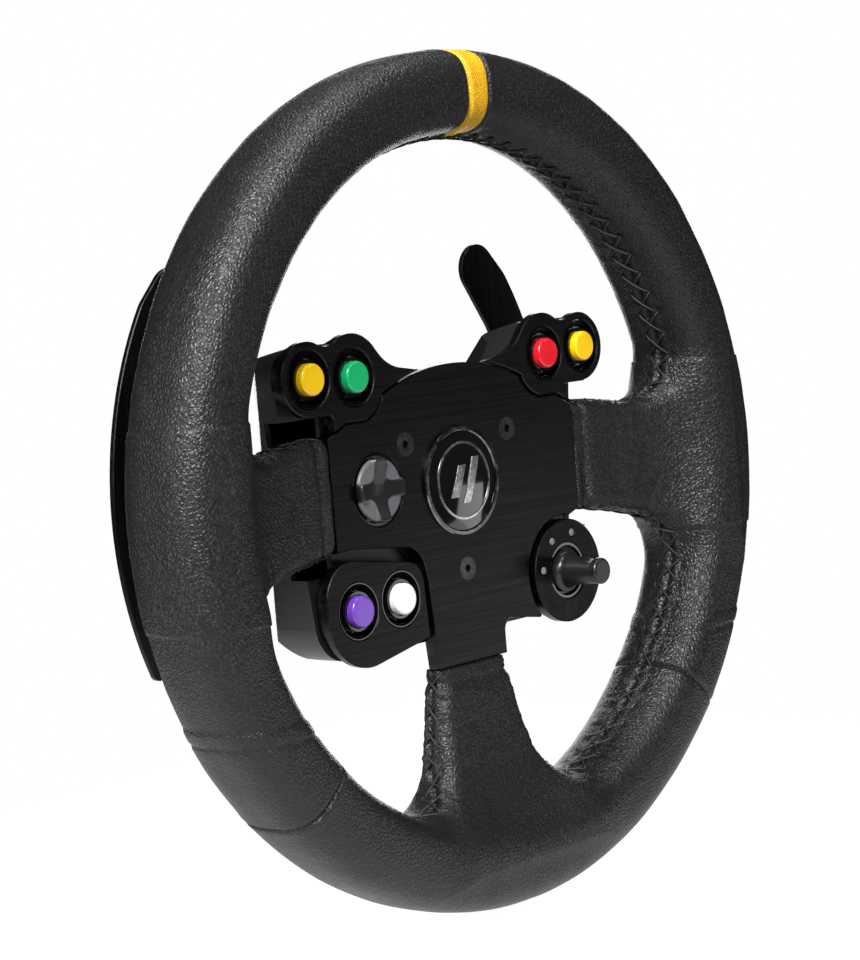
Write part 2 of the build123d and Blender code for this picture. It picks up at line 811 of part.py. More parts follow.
save(main_plate(face), "face_plate")
save(pod_plate(upper_left, [(at, well_radius) for at in top_wells[:2]]), "pod_plate_upper_left")
save(pod_plate(upper_right, [(at, well_radius) for at in top_wells[2:]]), "pod_plate_upper_right")
save(pod_plate(lower_left, [(at, well_radius) for at in lower_buttons]), "pod_plate_lower_left")
save(Compound(children=[countersunk_screw(at) for at in screw_points]), "plate_screws")

with BuildPart() as bezel:
    add(ring(face_y, face_y - 1.2, 18.2, 16.4))
    chamfer(bezel.faces().sort_by(Axis.Y)[0].edges(), 0.4)
save(bezel.part, "emblem_ring")
with BuildPart() as dome:
    add(disc(face_y, face_y - 2.3, emblem_radius))
    sphere_radius = 90.0
    with Locations((0, face_y - 2.2 + sphere_radius, 0)):
        Sphere(sphere_radius, mode=Mode.INTERSECT)
save(dome.part, "emblem_dome")

names = ["upper_left_outer", "upper_left_inner", "upper_right_outer", "upper_right_inner"]
names += ["lower_left_outer", "lower_left_inner"]
for name, at in zip(names, wells):
    save(button_cup(at), f"button_cup_{name}")
    save(button_cap(at), f"button_{name}")
save(Compound(children=[tact_switch(at) for at in wells]), "button_switches")

save(dpad_cup(), "dpad_cup")
save(dpad_spider(), "dpad_spider")
save(dpad_cap(), "dpad_cap")

save(selector_plate(), "selector_plate")
save(selector_cup(), "selector_cup")
save(selector_knob(), "selector_knob")
save(ring(rim_y + 16.6, rim_y + 12.9, carrier_radius, spindle_radius + running, selector_at), "selector_carrier")
save(selector_body(), "selector_body")

save(board((-57.0, 37.5), 29.0, 12.0), "board_upper_left")
save(board((57.0, 37.5), 29.0, 12.0), "board_upper_right")
save(board((-43.8, -34.6), 30.0, 14.0), "board_lower_left")
save(board((50.0, -37.0), 18.0, 14.0, rim_y + 23.6), "board_lower_right")

save(front_shell(), "front_shell")
save(rear_shell(), "rear_shell")
save(Compound(children=[cover_screw(at) for at in cover_screws]), "cover_screws")
save(hub(), "hub")
save(lock_collar(), "lock_collar")
save(connector(), "connector")
save(connector_pins(), "connector_pins")

blade = paddle()
arm = lever()
screws = [paddle_screw(at) for at in paddle_screw_at]
right_pieces = {
    "paddle": blade,
    "paddle_lever": arm,
    "paddle_pin": hinge_pin(),
    "lever_magnet": lever_magnet(),
    "cover_magnet": cover_magnet(),
    "paddle_switch": paddle_switch(),
}
for name, piece in right_pieces.items():
    save(mirrored(piece), f"{name}_left")
    save(piece, f"{name}_right")
save(Compound(children=[mirrored(s) for s in screws]), "paddle_screws_left")
save(Compound(children=screws), "paddle_screws_right")
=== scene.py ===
"""Racing wheel rim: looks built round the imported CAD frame.

Metres, in the CAD's frame: +Y points away from the driver along the steering axis, +Z is 12 o'clock and
+X is the driver's right. Leather is meshed from one implicit form, then cut into its sewn panels.
"""

import json
import math

import bmesh
import bpy
import numpy as np
from mathutils import Matrix, Vector
from mathutils.kdtree import KDTree


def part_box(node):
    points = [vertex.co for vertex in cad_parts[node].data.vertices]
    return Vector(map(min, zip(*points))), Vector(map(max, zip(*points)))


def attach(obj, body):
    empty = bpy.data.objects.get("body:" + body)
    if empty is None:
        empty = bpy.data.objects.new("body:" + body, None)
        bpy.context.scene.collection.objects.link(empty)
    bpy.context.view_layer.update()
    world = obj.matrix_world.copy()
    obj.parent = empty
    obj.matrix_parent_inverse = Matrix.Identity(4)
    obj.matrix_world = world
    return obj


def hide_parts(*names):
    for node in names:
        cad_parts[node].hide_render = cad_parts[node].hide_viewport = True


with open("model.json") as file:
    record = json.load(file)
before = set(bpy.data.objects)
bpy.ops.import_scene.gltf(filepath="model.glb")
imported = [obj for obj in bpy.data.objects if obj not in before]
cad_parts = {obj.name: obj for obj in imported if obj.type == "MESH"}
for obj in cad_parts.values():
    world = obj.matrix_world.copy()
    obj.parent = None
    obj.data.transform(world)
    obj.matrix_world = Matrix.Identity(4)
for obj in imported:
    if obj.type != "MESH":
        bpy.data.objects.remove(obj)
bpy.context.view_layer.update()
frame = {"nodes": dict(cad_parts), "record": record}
mm = 0.001

# ---------------------------------------------------------------- measures read from the frame

low, high = (np.array(corner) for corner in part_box("centre_band"))
rim_y = (low[1] + high[1]) / 2
rim_outer = high[2]
tube_radial = (high[2] - low[2]) / 2
tube_axial = (high[1] - low[1]) / 2
rim_radius = rim_outer - tube_radial
face_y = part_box("face_plate")[0].y
plate_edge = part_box("face_plate")[1].x
neck_end = -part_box("face_plate")[0].z
band_half = math.degrees(math.asin(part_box("centre_band")[1].x / rim_outer))
seam_angle = 222.0


def centre_of(node):
    a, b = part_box(node)
    return (a + b) / 2


# ---------------------------------------------------------------- material helpers


def new_material(name):
    material = bpy.data.materials.new(name)
    material.use_nodes = True
    nodes = material.node_tree.nodes
    links = material.node_tree.links
    shader = nodes["Principled BSDF"]
    return material, nodes, links, shader


def coords(nodes, links, scale, rotation=(0, 0, 0), attribute=None):
    """Object coordinates, or a stored vector attribute, scaled for one texture."""
    if attribute:
        source = nodes.new("ShaderNodeAttribute")
        source.attribute_name = attribute
        vector = source.outputs["Vector"]
    else:
        vector = nodes.new("ShaderNodeTexCoord").outputs["Object"]
    mapping = nodes.new("ShaderNodeMapping")
    mapping.inputs["Scale"].default_value = scale
    mapping.inputs["Rotation"].default_value = rotation
    links.new(vector, mapping.inputs["Vector"])
    return mapping.outputs["Vector"]


def ramp(nodes, links, value, stops):
    made = nodes.new("ShaderNodeValToRGB")
    made.color_ramp.elements[0].position = stops[0][0]
    made.color_ramp.elements[0].color = (*stops[0][1], 1)
    made.color_ramp.elements[1].position = stops[-1][0]
    made.color_ramp.elements[1].color = (*stops[-1][1], 1)
    for position, colour in stops[1:-1]:
        made.color_ramp.elements.new(position).color = (*colour, 1)
    links.new(value, made.inputs["Fac"])
    return made.outputs["Color"]


def remap(nodes, links, value, low_out, high_out, low_in=0.0, high_in=1.0):
    made = nodes.new("ShaderNodeMapRange")
    made.inputs["From Min"].default_value = low_in
    made.inputs["From Max"].default_value = high_in
    made.inputs["To Min"].default_value = low_out
    made.inputs["To Max"].default_value = high_out
    links.new(value, made.inputs["Value"])
    return made.outputs["Result"]


def bump(nodes, links, shader, layers):
    """Chained bump nodes: layers of (height socket, strength, distance in metres)."""
    normal = None
    for height, strength, distance in layers:
        made = nodes.new("ShaderNodeBump")
        made.inputs["Strength"].default_value = strength
        made.inputs["Distance"].default_value = distance
        links.new(height, made.inputs["Height"])
        if normal is not None:
            links.new(normal, made.inputs["Normal"])
        normal = made.outputs["Normal"]
    links.new(normal, shader.inputs["Normal"])


def noise(nodes, links, vector, scale, detail=4.0, roughness=0.55):
    made = nodes.new("ShaderNodeTexNoise")
    made.inputs["Scale"].default_value = scale
    made.inputs["Detail"].default_value = detail
    made.inputs["Roughness"].default_value = roughness
    links.new(vector, made.inputs["Vector"])
    return made.outputs["Fac"]


def leather_material(name, dark, light, cell=1.35 * mm):
    """Pebbled leather: irregular cells with sunk valleys, fine pores and a broken-up sheen; the base colour
    carries painted shade in the valleys and a painted highlight on the pebble tops, over a random cloudy
    tone.
    """
    material, nodes, links, shader = new_material(name)
    vector = coords(nodes, links, (1, 1, 1), attribute="grain")
    warp = nodes.new("ShaderNodeTexNoise")
    warp.inputs["Scale"].default_value = 0.45 / cell
    warp.inputs["Detail"].default_value = 3
    links.new(vector, warp.inputs["Vector"])
    shift = nodes.new("ShaderNodeVectorMath")
    shift.operation = "MULTIPLY_ADD"
    links.new(warp.outputs["Color"], shift.inputs[0])
    shift.inputs[1].default_value = (1.6 * cell,) * 3
    links.new(vector, shift.inputs[2])
    cells = nodes.new("ShaderNodeTexVoronoi")
    cells.feature = "DISTANCE_TO_EDGE"
    cells.inputs["Scale"].default_value = 1 / cell
    links.new(shift.outputs[0], cells.inputs["Vector"])
    small = nodes.new("ShaderNodeTexVoronoi")
    small.feature = "SMOOTH_F1"
    small.inputs["Scale"].default_value = 2.3 / cell
    links.new(shift.outputs[0], small.inputs["Vector"])
    pebble = remap(nodes, links, cells.outputs["Distance"], 0, 1, 0.0, 0.32)
    pores = remap(nodes, links, small.outputs["Distance"], 1, 0, 0.0, 0.8)
    cloud = noise(nodes, links, vector, 18.0, 3)
    bump(nodes, links, shader, [(pores, 0.10, 0.05 * mm), (pebble, 0.55, 0.30 * mm)])
    # Base colour: painted shade in the cell valleys and a painted highlight on the pebble tops, scaled by a
    # random cloudy tone.
    mixed = nodes.new("ShaderNodeMix")
    mixed.data_type = "RGBA"
    mixed.inputs["A"].default_value = (*dark, 1)
    mixed.inputs["B"].default_value = (*light, 1)
    tone = nodes.new("ShaderNodeMath")
    tone.operation = "MULTIPLY"
    links.new(pebble, tone.inputs[0])
    links.new(remap(nodes, links, cloud, 0.55, 1.0, 0.3, 0.7), tone.inputs[1])
    links.new(tone.outputs[0], mixed.inputs["Factor"])
    links.new(mixed.outputs["Result"], shader.inputs["Base Color"])
    rough = nodes.new("ShaderNodeMath")
    rough.operation = "SUBTRACT"
    links.new(remap(nodes, links, cloud, 0.40, 0.48, 0.3, 0.7), rough.inputs[0])
    links.new(remap(nodes, links, pebble, 0.0, 0.06), rough.inputs[1])
    links.new(rough.outputs[0], shader.inputs["Roughness"])
    shader.inputs["Specular IOR Level"].default_value = 0.42
    return material


def moulded_material(name, colour, roughness, grain=0.0, spec=0.5, coat=0.0):
    """Moulded plastic with faint cloudiness, small roughness changes and an optional spark-eroded texture."""
    material, nodes, links, shader = new_material(name)
    vector = coords(nodes, links, (1, 1, 1))
    cloud = noise(nodes, links, vector, 60.0, 5)
    darker = tuple(c * 0.82 for c in colour)
    links.new(ramp(nodes, links, cloud, [(0.3, darker), (0.7, colour)]), shader.inputs["Base Color"])
    varied = remap(nodes, links, cloud, roughness * 0.85, roughness * 1.15, 0.3, 0.7)
    links.new(varied, shader.inputs["Roughness"])
    shader.inputs["Specular IOR Level"].default_value = spec
    shader.inputs["Coat Weight"].default_value = coat
    shader.inputs["Coat Roughness"].default_value = 0.06
    fine = noise(nodes, links, vector, 2600.0, 2)
    bump(nodes, links, shader, [(fine, 0.02 + grain, 0.05 * mm)])
    return material


def brushed_material(name, colour, roughness, stretch, depth=0.10):
    """Brushed or anodised metal, with streaks that run along the axis of smallest stretch."""
    material, nodes, links, shader = new_material(name)
    vector = coords(nodes, links, stretch)
    streak = noise(nodes, links, vector, 1.0, 6, 0.65)
    broad = noise(nodes, links, coords(nodes, links, tuple(s * 0.22 for s in stretch)), 1.0, 3)
    darker = tuple(c * 0.45 for c in colour)
    brighter = tuple(min(1.0, c * 1.7) for c in colour)
    links.new(ramp(nodes, links, streak, [(0.28, darker), (0.52, colour), (0.74, brighter)]),
              shader.inputs["Base Color"])
    spread = nodes.new("ShaderNodeMath")
    spread.operation = "MULTIPLY_ADD"
    links.new(streak, spread.inputs[0])
    spread.inputs[1].default_value = 0.16
    links.new(remap(nodes, links, broad, roughness - 0.13, roughness - 0.03, 0.35, 0.65), spread.inputs[2])
    links.new(spread.outputs[0], shader.inputs["Roughness"])
    shader.inputs["Metallic"].default_value = 1.0
    shader.inputs["Specular IOR Level"].default_value = 0.5
    bump(nodes, links, shader, [(streak, depth, 0.05 * mm)])
    return material


leather_black = leather_material("leather_black", (0.0022, 0.0022, 0.0024), (0.0105, 0.0105, 0.011))
leather_yellow = leather_material("leather_yellow", (0.52, 0.27, 0.002), (0.86, 0.50, 0.006), 0.8 * mm)
thread_black = moulded_material("thread_black", (0.006, 0.006, 0.0065), 0.62, 0.25)
brushed_plate = brushed_material(
    "brushed_plate", (0.026, 0.026, 0.027), 0.34, (22.0, 300.0, 4200.0), depth=0.22,
)
brushed_paddle = brushed_material("brushed_paddle", (0.022, 0.022, 0.0225), 0.40, (4200.0, 300.0, 22.0))
satin_plate = brushed_material("satin_plate", (0.02, 0.02, 0.0205), 0.36, (900.0, 900.0, 900.0), depth=0.05)
anodised = brushed_material("anodised", (0.03, 0.03, 0.032), 0.34, (600.0, 80.0, 600.0), depth=0.05)
steel = brushed_material("steel", (0.45, 0.45, 0.46), 0.3, (1500.0, 1500.0, 60.0), depth=0.05)
brass = brushed_material("brass", (0.62, 0.42, 0.13), 0.28, (900.0, 90.0, 900.0), depth=0.04)
screw_black = brushed_material("screw_black", (0.075, 0.075, 0.078), 0.30, (600.0, 80.0, 600.0), depth=0.05)
dark_chrome = brushed_material("dark_chrome", (0.16, 0.16, 0.165), 0.14, (500.0, 500.0, 500.0), depth=0.0)
gloss_black = moulded_material("gloss_black", (0.003, 0.003, 0.0032), 0.07, 0.0, 0.5, 0.6)
shell_black = moulded_material("shell_black", (0.010, 0.010, 0.0105), 0.36, 0.35)
satin_black = moulded_material("satin_black", (0.010, 0.010, 0.011), 0.30, 0.05)
grey_satin = moulded_material("grey_satin", (0.055, 0.056, 0.06), 0.34, 0.12)
pale_grey = moulded_material("pale_grey", (0.18, 0.18, 0.19), 0.4, 0.1)
board_green = moulded_material("board_green", (0.01, 0.07, 0.03), 0.35)
foam_black = moulded_material("foam_black", (0.012, 0.012, 0.012), 0.8, 0.8)
cap_colours = {
    "upper_left_outer": (0.90, 0.56, 0.006),
    "upper_left_inner": (0.006, 0.36, 0.12),
    "upper_right_outer": (0.90, 0.56, 0.006),
    "upper_right_inner": (0.72, 0.010, 0.022),
    "lower_left_outer": (0.150, 0.045, 0.43),
    "lower_left_inner": (0.80, 0.80, 0.80),
}

slot_materials = {
    "black_leather": leather_black,
    "yellow_leather": leather_yellow,
    "rim_foam": foam_black,
    "frame_aluminium": anodised,
    "brushed_black": brushed_plate,
    "satin_black": satin_plate,
    "black_screws": screw_black,
    "dark_chrome": dark_chrome,
    "gloss_black": gloss_black,
    "switch_plastic": satin_black,
    "grey_satin": grey_satin,
    "knob_black": satin_black,
    "circuit_board": board_green,
    "shell_black": shell_black,
    "hub_aluminium": anodised,
    "collar_black": anodised,
    "connector_black": satin_black,
    "contact_brass": brass,
    "paddle_black": brushed_paddle,
    "lever_black": anodised,
    "pin_steel": steel,
    "magnet_steel": steel,
}
cap_materials = {
    "button_" + label: moulded_material("cap_" + label, colour, 0.24, 0.02, 0.5, 0.35)
    for label, colour in cap_colours.items()
}

for entry in frame["record"]["subparts"]:
    node = entry["node"]
    piece = frame["nodes"][node]
    chosen = cap_materials[node] if node in cap_materials else slot_materials[entry["material_slot"]]
    piece.data.materials.clear()
    piece.data.materials.append(chosen)


def soften(name, width, segments=3):
    """Rounds a CAD node's machined edges with a bevel modifier; its mesh stays as it is."""
    piece = frame["nodes"][name]
    bevel = piece.modifiers.new("edge", "BEVEL")
    bevel.width = width
    bevel.segments = segments
    bevel.limit_method = "ANGLE"
    bevel.angle_limit = math.radians(35)


for name, width in (
    ("face_plate", 0.12), ("pod_plate_upper_left", 0.12), ("pod_plate_upper_right", 0.12),
    ("pod_plate_lower_left", 0.12), ("selector_plate", 0.12), ("front_shell", 0.5), ("rear_shell", 0.8),
    ("paddle_left", 0.15), ("paddle_right", 0.15), ("selector_knob", 0.3),
):
    soften(name, width * mm)


# ---------------------------------------------------------------- the padded form, in millimetres

grip_power = 2.8
blend_reach = 17.0
spoke_round = 4.6
spoke_end = 113.0
stations = np.array([60.0, 65.5, 68.0, 80.0, 93.0, 105.0, 118.0])
side_spoke = {
    "low": [-16.9, -16.9, -17.6, -19.4, -22.4, -27.0, -34.0],
    "high": [20.1, 20.1, 20.2, 18.7, 16.8, 20.0, 27.0],
    "near": [4.5, 4.5, 3.1, 1.9, -0.8, -5.0, -9.0],
    "far": [14.3, 14.3, 14.6, 14.6, 14.5, 13.5, 12.0],
}
lower_spoke = {
    "low": [-16.7, -16.7, -17.8, -19.6, -22.6, -28.5, -35.0],
    "high": [16.7, 16.7, 17.8, 19.6, 22.6, 28.5, 35.0],
    "near": [4.5, 4.5, 3.1, 1.9, -0.8, -5.0, -9.0],
    "far": [14.3, 14.3, 14.6, 14.6, 14.5, 13.5, 12.0],
}
fine_u = np.arange(55.0, 135.0, 0.25)


def smoothed(values):
    """Station values on a fine axis, rounded with a short running mean."""
    line = np.interp(fine_u, stations, values)
    kernel = np.hanning(15)
    padded = np.pad(line, 7, mode="edge")
    return np.convolve(padded, kernel / kernel.sum(), mode="valid")


side_lines = {key: smoothed(values) for key, values in side_spoke.items()}
lower_lines = {key: smoothed(values) for key, values in lower_spoke.items()}


def spoke_field(u, v, depth, lines):
    """Signed distance to one padded spoke that runs along u."""
    low_v, high_v = np.interp(u, fine_u, lines["low"]), np.interp(u, fine_u, lines["high"])
    near, far = np.interp(u, fine_u, lines["near"]), np.interp(u, fine_u, lines["far"])
    across = np.abs(v - (low_v + high_v) / 2) - (high_v - low_v) / 2 + spoke_round
    deep = np.abs(depth - (near + far) / 2) - (far - near) / 2 + spoke_round
    outside = np.hypot(np.maximum(across, 0), np.maximum(deep, 0))
    section = outside + np.minimum(np.maximum(across, deep), 0) - spoke_round
    start = (plate_edge / mm + 0.25) - u
    return np.maximum(section, np.maximum(start, u - spoke_end))


def soft_union(a, b, reach):
    share = np.maximum(reach - np.abs(a - b), 0) / reach
    return np.minimum(a, b) - share * share * reach / 4


def form(p):
    """Signed distance, in mm, to the rim and its spokes; p is in mm with y counted from the rim's middle."""
    x, y, z = p[:, 0], p[:, 1], p[:, 2]
    radial = np.abs(np.hypot(x, z) - rim_radius / mm) / (tube_radial / mm)
    axial = np.abs(y) / (tube_axial / mm)
    rim = ((radial ** grip_power + axial ** grip_power) ** (1 / grip_power) - 1) * tube_radial / mm
    field = rim
    for u, v, lines in ((x, z, side_lines), (-x, z, side_lines), (-z, x, lower_lines)):
        near_spoke = u > 50
        spoke = np.full(len(u), 40.0)
        spoke[near_spoke] = spoke_field(u[near_spoke], v[near_spoke], y[near_spoke], lines)
        field = soft_union(field, spoke, blend_reach)
    return field


def slope(p, step=0.05):
    found = np.empty_like(p)
    for axis in range(3):
        shift = np.zeros(3)
        shift[axis] = step
        found[:, axis] = (form(p + shift) - form(p - shift)) / (2 * step)
    return found


def settle(p, rounds=4):
    """Moves points on to the form's surface."""
    for _ in range(rounds):
        g = slope(p)
        stride = np.clip(form(p) / np.maximum((g * g).sum(1), 0.05), -0.8, 0.8)
        p = p - g * stride[:, None]
    return p


def unit(vectors):
    return vectors / np.maximum(np.linalg.norm(vectors, axis=1, keepdims=True), 1e-9)


def lattice(u, v, seed):
    """Smooth random field over a plane, about -1 to 1."""
    cell_u, cell_v = np.floor(u), np.floor(v)
    fu, fv = u - cell_u, v - cell_v
    fu, fv = fu * fu * (3 - 2 * fu), fv * fv * (3 - 2 * fv)

    def corner(du, dv):
        value = np.sin((cell_u + du) * 127.1 + (cell_v + dv) * 311.7 + seed * 74.7) * 43758.5453
        return (value - np.floor(value)) * 2 - 1

    near = corner(0, 0) * (1 - fu) + corner(1, 0) * fu
    far = corner(0, 1) * (1 - fu) + corner(1, 1) * fu
    return near * (1 - fv) + far * fv


# ---------------------------------------------------------------- seams that are laced with thread

lace_half = 4.4
lace_pitch = 8.2
spoke_mid = 9.3
spoke_leaves = 92.0
spoke_to_rim = 17.0
seam_step = 0.5
seam_reach = 16
groove_depth, groove_width = 0.95, 0.75
fold_rise, fold_at, fold_width = 0.35, 2.6, 1.6
hole_depth = 0.55
crease_depth = 0.294
hem_depth, hem_at, hem_width = 0.45, 5.3, 0.7


def seam_line(centre, start, end, count=900):
    """The sewn line round one window of the wheel, where rays from the window's centre meet the form."""
    angles = np.radians(np.linspace(start, end, count))
    away = np.stack([np.cos(angles), np.zeros(count), np.sin(angles)], 1)
    origin = np.array([centre[0], 0.0, centre[1]])
    depth = np.full(count, spoke_mid)
    for _ in range(5):
        reach = np.linspace(0, 130, 261)
        points = origin + away[:, None, :] * reach[None, :, None]
        points[:, :, 1] += depth[:, None]
        values = form(points.reshape(-1, 3)).reshape(count, -1)
        first = np.argmax(values < 0, axis=1)
        first = np.maximum(first, 1)
        before, after = values[np.arange(count), first - 1], values[np.arange(count), first]
        share = np.clip(before / np.maximum(before - after, 1e-6), 0, 1)
        t = reach[first - 1] + (reach[1] - reach[0]) * share
        hit = origin + away * t[:, None]
        on_rim = np.clip((np.hypot(hit[:, 0], hit[:, 2]) - spoke_leaves) / spoke_to_rim, 0, 1)
        on_rim = on_rim * on_rim * (3 - 2 * on_rim)
        depth = spoke_mid * (1 - on_rim)
    hit[:, 1] += depth
    for _ in range(12):
        hit[1:-1] = (hit[:-2] + hit[1:-1] * 2 + hit[2:]) / 4
    return settle(hit)


def even(line, pitch):
    """The same line with points at an even pitch."""
    lengths = np.concatenate([[0], np.cumsum(np.linalg.norm(np.diff(line, axis=0), axis=1))])
    steps = max(2, int(round(lengths[-1] / pitch)))
    wanted = np.linspace(0, lengths[-1], steps + 1)
    return np.stack([np.interp(wanted, lengths, line[:, k]) for k in range(3)], 1)


def bearing(centre, target):
    return math.degrees(math.atan2(target[1] - centre[1], target[0] - centre[0]))


edge = plate_edge / mm + 1.2
top_centre = (0.0, 66.0)
side_centre = (66.0, -60.0)
top_start = bearing(top_centre, (edge, side_spoke["high"][0]))
top_line = seam_line(top_centre, top_start, 180 - top_start)
right_start = bearing(side_centre, (lower_spoke["high"][0], -neck_end / mm - 1.4)) % 360
right_end = bearing(side_centre, (edge, side_spoke["low"][0]))
right_line = seam_line(side_centre, right_start, right_end + 360)
left_line = right_line * np.array([-1, 1, 1])
seam_lines = [even(line, seam_step) for line in (top_line, right_line, left_line)]


def seam_frame(line):
    """Unit vectors along the seam, out of the leather, and across the seam."""
    along = unit(np.gradient(line, axis=0))
    out = unit(slope(line))
    across = unit(np.cross(out, along))
    return along, out, across


def beside_line(p, line, margin):
    """Which points lie near a seam's box, on the inner side of the rim."""
    inside = np.all((p > line.min(0) - margin) & (p < line.max(0) + margin), axis=1)
    return inside & (np.hypot(p[:, 0], p[:, 2]) < 119)


def seam_coordinates(p):
    """For each point: which seam is nearest, distance along it, and signed distance across it."""
    best = np.full(len(p), 1e9)
    along = np.zeros(len(p))
    across = np.zeros(len(p))
    for k, line in enumerate(seam_lines):
        _, _, side = seam_frame(line)
        tree = KDTree(len(line))
        for i, q in enumerate(line):
            tree.insert(q, i)
        tree.balance()
        close = np.where(beside_line(p, line, 20.0))[0]
        for i in close:
            _, j, distance = tree.find(p[i])
            if distance < best[i]:
                best[i] = distance
                along[i] = j * seam_step + k * 1000
                across[i] = np.dot(p[i] - line[j], side[j])
    return best, along, across


def leather_relief(p):
    """How far the leather stands off the plain form: soft lows and highs, laced seams, gathers and hems."""
    distance, along, across = seam_coordinates(p)
    radius = np.hypot(p[:, 0], p[:, 2])
    turn = np.arctan2(p[:, 2], p[:, 0])
    relief = 0.16 * lattice(turn * 7.0, p[:, 1] / 14.0, 1)
    relief += 0.10 * lattice(turn * 19.0, p[:, 1] / 7.0 + radius / 9, 2)
    a = np.abs(across)
    near = distance < seam_reach
    relief += np.where(near, fold_rise * np.exp(-((a - fold_at) / fold_width) ** 2), 0)
    relief -= np.where(near, groove_depth * np.exp(-(a / groove_width) ** 2), 0)
    phase = along / lace_pitch
    to_hole = (phase - np.round(phase)) * lace_pitch
    hole = np.exp(-(to_hole / 1.3) ** 2 - ((a - lace_half) / 1.1) ** 2)
    relief -= np.where(near, hole_depth * hole, 0)
    pull = np.where(near, np.exp(-((a - lace_half) / 5.0) ** 2), 0)
    relief += 0.16 * pull * lattice(along / 1.7, across / 7.0, 5)
    spoke_share = np.clip((112 - radius) / 22, 0, 1) * np.clip((radius - 68) / 14, 0, 1)
    gather = spoke_share * np.exp(-(distance / 11.0) ** 2)
    crease = lattice(along / 2.3 + 0.35 * lattice(across / 4.0, along / 9.0, 8), across / 13.0, 9)
    relief += crease_depth * gather * (1 - 2 * np.abs(crease))
    on_side_spoke = np.abs(p[:, 2]) < 30
    from_plate = np.where(on_side_spoke, np.abs(p[:, 0]) - plate_edge / mm, -p[:, 2] - neck_end / mm)
    relief -= hem_depth * np.exp(-((from_plate - hem_at) / hem_width) ** 2)
    relief -= 0.5 * np.exp(-(np.maximum(from_plate, 0) / 0.6) ** 2)
    return relief


# ---------------------------------------------------------------- meshing the leather


def mesh_object(name, vertices, faces):
    mesh = bpy.data.meshes.new(name)
    mesh.from_pydata([tuple(v) for v in vertices], [], [tuple(f) for f in faces])
    mesh.update()
    made = bpy.data.objects.new(name, mesh)
    bpy.context.scene.collection.objects.link(made)
    return made


def surface_net(step):
    """A closed quad mesh of the form: one vertex in each grid cell that the surface crosses."""
    reach = (rim_outer / mm + 3, tube_axial / mm + 3, rim_outer / mm + 3)
    xs, ys, zs = (np.arange(-half, half + step, step) for half in reach)
    deep, high_up = np.meshgrid(ys, zs, indexing="ij")
    slice_points = np.stack([np.zeros(deep.size), deep.ravel(), high_up.ravel()], 1)
    values = np.empty((len(xs), len(ys), len(zs)), np.float32)
    for i, x in enumerate(xs):
        slice_points[:, 0] = x
        values[i] = form(slice_points).reshape(deep.shape)
    inside = values < 0
    corners = [(a, b, c) for a in (0, 1) for b in (0, 1) for c in (0, 1)]
    size = [n - 1 for n in inside.shape]
    count = sum(inside[a:a + size[0], b:b + size[1], c:c + size[2]].astype(np.int8) for a, b, c in corners)
    cell = np.argwhere((count > 0) & (count < 8))
    number = np.full(size, -1, np.int32)
    number[tuple(cell.T)] = np.arange(len(cell))
    total, found = np.zeros((len(cell), 3)), np.zeros(len(cell))
    for first in corners:
        for axis in range(3):
            if first[axis]:
                continue
            second = np.array(first)
            second[axis] = 1
            va = values[tuple((cell + first).T)]
            vb = values[tuple((cell + second).T)]
            cross = (va < 0) != (vb < 0)
            t = np.where(cross, va / np.where(cross, va - vb, 1), 0)
            place = np.array(first, float)[None, :] + t[:, None] * (second - np.array(first))
            total += place * cross[:, None]
            found += cross
    vertices = (cell + total / found[:, None]) * step + [xs[0], ys[0], zs[0]]
    faces = []
    for axis in range(3):
        ahead = np.roll(inside, -1, axis)
        edge_at = np.argwhere(inside != ahead)
        edge_at = edge_at[(edge_at[:, axis] < size[axis]) & (edge_at > 0).all(1)]
        u, v = np.eye(3, dtype=int)[(axis + 1) % 3], np.eye(3, dtype=int)[(axis + 2) % 3]
        quad = np.stack([number[tuple((edge_at - back).T)] for back in (u + v, v, u * 0, u)], 1)
        flip = ~inside[tuple(edge_at.T)]
        quad[flip] = quad[flip][:, ::-1]
        faces.append(quad)
    return mesh_object("whole_form", vertices * mm, np.concatenate(faces).tolist())


def read_points(mesh):
    flat = np.empty(len(mesh.vertices) * 3)
    mesh.vertices.foreach_get("co", flat)
    return flat.reshape(-1, 3)


def write_points(mesh, points):
    mesh.vertices.foreach_set("co", points.astype(np.float32).ravel())
    mesh.update()


def relax(points, edges, rounds):
    """Evens out the mesh along the surface."""
    count = np.zeros(len(points))
    np.add.at(count, edges[:, 0], 1)
    np.add.at(count, edges[:, 1], 1)
    for _ in range(rounds):
        total = np.zeros_like(points)
        for k in range(3):
            total[:, k] = np.bincount(edges[:, 0], points[edges[:, 1], k], len(points))
            total[:, k] += np.bincount(edges[:, 1], points[edges[:, 0], k], len(points))
        points = points * 0.5 + 0.5 * total / count[:, None]
        points = settle(points, 1)
    return points


whole = surface_net(0.9)
edges = np.empty(len(whole.data.edges) * 2, int)
whole.data.edges.foreach_get("vertices", edges)
edges = edges.reshape(-1, 2)
shift = np.array([0, rim_y / mm, 0])
points = settle(read_points(whole.data) / mm, 2)
points = relax(points, edges, 3)
write_points(whole.data, (points + shift) * mm)

panels = {
    "leather_left_cover": (90 + band_half, seam_angle, leather_black, "black_leather", "leather_left"),
    "leather_right_cover": (
        540 - seam_angle, 450 - band_half, leather_black, "black_leather", "leather_right",
    ),
    "leather_bottom_cover": (seam_angle, 540 - seam_angle, leather_black, "black_leather", "leather_bottom"),
    "centre_band_cover": (90 - band_half, 90 + band_half, leather_yellow, "yellow_leather", "centre_band"),
}


def half_plane_normal(angle):
    """Normal of the plane through the steering axis at a clock angle; it points anticlockwise."""
    a = math.radians(angle)
    return Vector((-math.sin(a), 0, math.cos(a)))


